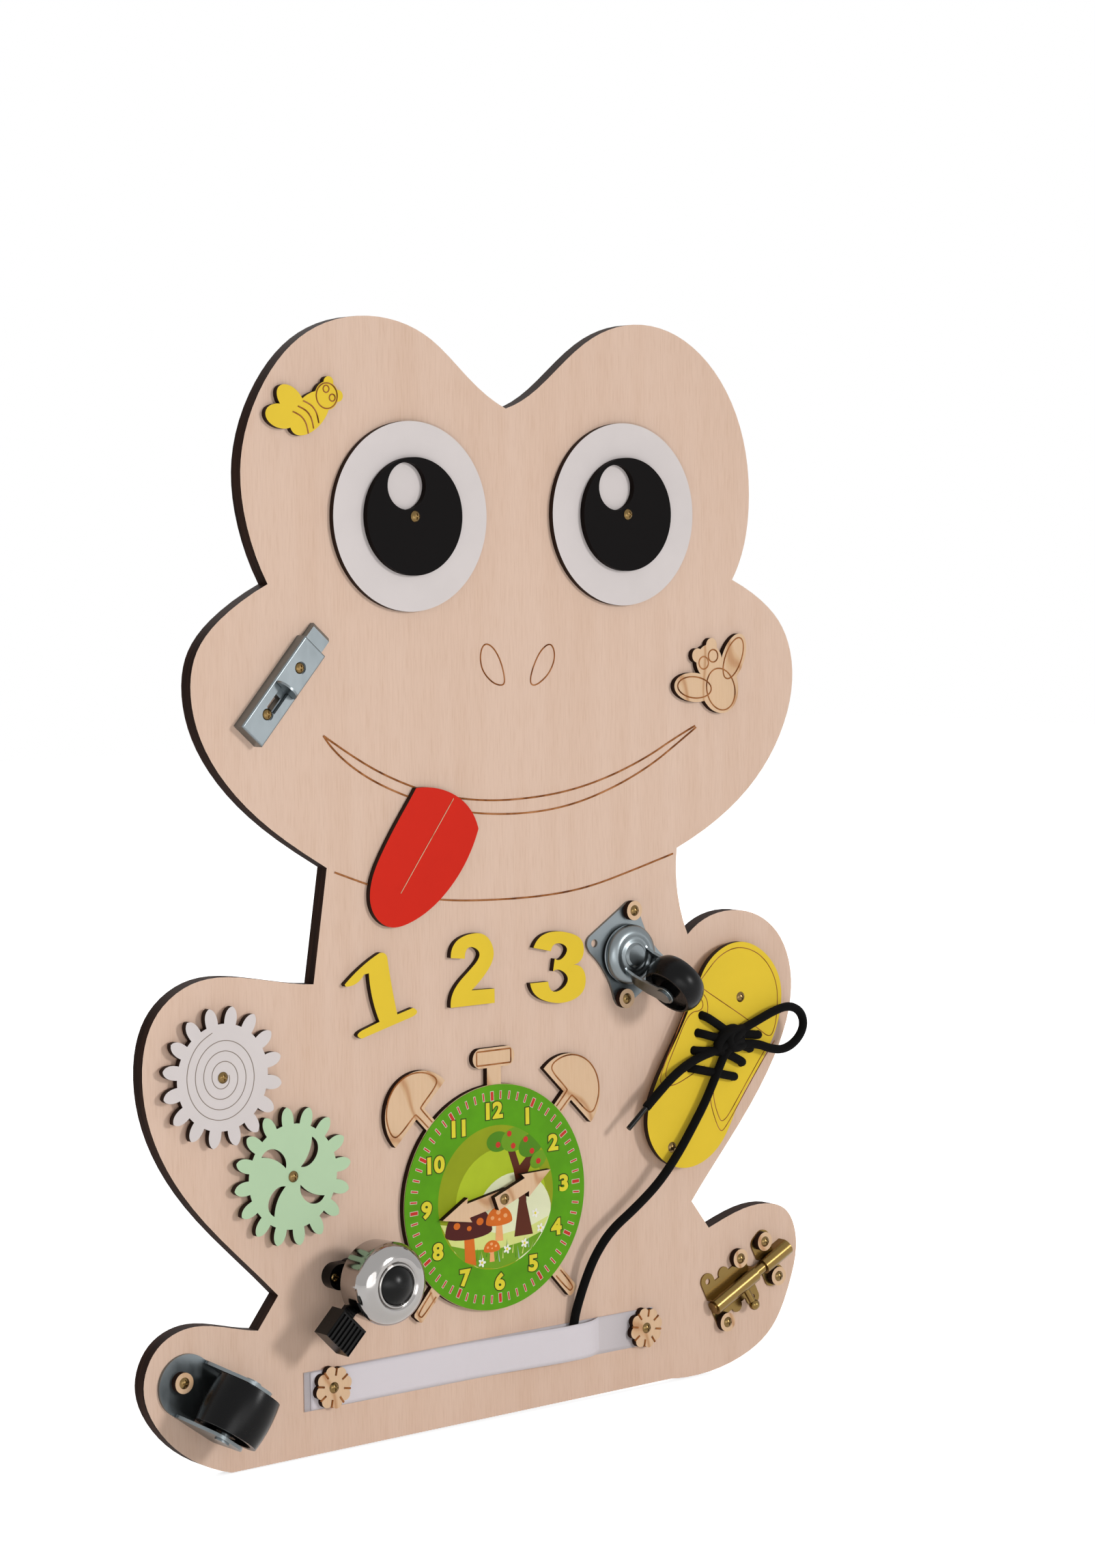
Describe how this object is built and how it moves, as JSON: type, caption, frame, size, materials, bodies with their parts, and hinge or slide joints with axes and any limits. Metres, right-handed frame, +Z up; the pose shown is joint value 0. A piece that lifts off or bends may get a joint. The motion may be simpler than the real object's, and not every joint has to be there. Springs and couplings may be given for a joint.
{
  "type": "busy board",
  "caption": "Frog-shaped plywood activity board with spinning eyes, meshed gears, play clock, casters, bell, sliding latches, strap and lacing shoe.",
  "frame": {"origin": "middle of the board's flat back face", "axes": "+Z up the board from feet to head, front of the board towards -Y, +X to the right seen from the front"},
  "size_m": [0.5179, 0.067, 0.6896],
  "materials": {
    "birch": "raw birch plywood with laser-burnt edges",
    "natural_ply": "raw plywood",
    "white_paint": "matt white paint",
    "black_paint": "satin black paint",
    "yellow_paint": "matt yellow paint",
    "red_paint": "matt red paint",
    "mint_paint": "matt mint paint",
    "dial_print": "printed film",
    "zinc": "bright zinc plate",
    "brass": "polished brass",
    "yellow_zinc": "yellow zinc screws",
    "chrome": "mirror chrome",
    "black_plastic": "black nylon",
    "wheel_black": "black polypropylene",
    "white_tape": "hook and loop tape",
    "lace": "black flat lace"
  },
  "bodies": {
    "board": {"board": "birch", "eye_white_left": "white_paint", "eye_white_right": "white_paint", "gear_spacers": "natural_ply", "clock_body": "natural_ply", "clock_dial": "dial_print", "tongue": "red_paint", "digit_one": "yellow_paint", "digit_two": "yellow_paint", "digit_three": "yellow_paint", "bee_plaque": "yellow_paint", "fly_plaque": "natural_ply", "latch_housing": "zinc", "caster_plate": "zinc", "roller_bracket": "zinc", "roller_axle": "zinc", "bell_base": "black_plastic", "bell_dome": "chrome", "bell_cap": "black_plastic", "bolt_plate": "brass", "bolt_keeper": "brass", "strap_base": "white_tape", "strap_ribbon": "white_tape", "flower_left": "natural_ply", "flower_right": "natural_ply", "shoe_plate": "yellow_paint", "shoe_spacers": "natural_ply", "lace_lacing": "lace", "lace_loop": "lace", "lace_long_end": "lace", "lace_short_end": "lace", "lace_aglet": "black_plastic", "pivot_screws": "yellow_zinc", "fixing_screws": "yellow_zinc", "wood_washers": "natural_ply"},
    "pupil_left": {"pupil_left": "black_paint"},
    "pupil_right": {"pupil_right": "black_paint"},
    "gear_white": {"gear_white": "white_paint"},
    "gear_green": {"gear_green": "mint_paint"},
    "minute_hand": {"minute_hand": "natural_ply"},
    "hour_hand": {"hour_hand": "natural_ply"},
    "caster_fork": {"caster_fork": "zinc", "caster_axle": "zinc"},
    "caster_wheel": {"caster_wheel": "wheel_black"},
    "roller_wheel": {"roller_wheel": "wheel_black"},
    "bell_lever": {"bell_lever": "black_plastic"},
    "latch_bolt": {"latch_bolt": "zinc"},
    "bolt_rod": {"bolt_rod": "brass"}
  },
  "joints": [
    {"name": "left_pupil_spin", "type": "hinge", "parent": "board", "child": "pupil_left", "pos_m": [-0.0573, -0.016, 0.224], "axis": [0, -1, 0], "continuous": true},
    {"name": "right_pupil_spin", "type": "hinge", "parent": "board", "child": "pupil_right", "pos_m": [0.1113, -0.016, 0.224], "axis": [0, -1, 0], "continuous": true},
    {"name": "white_gear_spin", "type": "hinge", "parent": "board", "child": "gear_white", "pos_m": [-0.2031, -0.0143, -0.1053], "axis": [0, -1, 0], "continuous": true},
    {"name": "green_gear_spin", "type": "hinge", "parent": "board", "child": "gear_green", "pos_m": [-0.15411, -0.0143, -0.17031], "axis": [0, -1, 0], "continuous": true},
    {"name": "minute_hand_turn", "type": "hinge", "parent": "board", "child": "minute_hand", "pos_m": [0.0006, -0.0169, -0.2027], "axis": [0, -1, 0], "continuous": true},
    {"name": "hour_hand_turn", "type": "hinge", "parent": "board", "child": "hour_hand", "pos_m": [0.0006, -0.0212, -0.2027], "axis": [0, -1, 0], "continuous": true},
    {"name": "caster_swivel", "type": "hinge", "parent": "board", "child": "caster_fork", "pos_m": [0.1115, -0.019, -0.0586], "axis": [0, -1, 0], "continuous": true},
    {"name": "caster_wheel_roll", "type": "hinge", "parent": "caster_fork", "child": "caster_wheel", "pos_m": [0.12462, -0.0441, -0.07601], "axis": [0.7986, 0, 0.6018], "continuous": true},
    {"name": "roller_wheel_roll", "type": "hinge", "parent": "board", "child": "roller_wheel", "pos_m": [-0.2113, -0.038, -0.3001], "axis": [0.5934, 0, 0.8049], "continuous": true},
    {"name": "bell_lever_press", "type": "hinge", "parent": "board", "child": "bell_lever", "pos_m": [-0.12069, -0.036, -0.24469], "axis": [0, -1, 0], "range_deg": [0, 25], "stiffness_Nm_per_rad": 0.06},
    {"name": "latch_slide", "type": "slide", "parent": "board", "child": "latch_bolt", "axis": [0.6665, 0, 0.7455], "range_m": [-0.012, 0]},
    {"name": "barrel_bolt_slide", "type": "slide", "parent": "board", "child": "bolt_rod", "axis": [0.8988, 0, 0.4384], "range_m": [-0.012, 0]}
  ],
  "couplings": [
    {"joint": "green_gear_spin", "follows": "white_gear_spin", "ratio": -1}
  ]
}
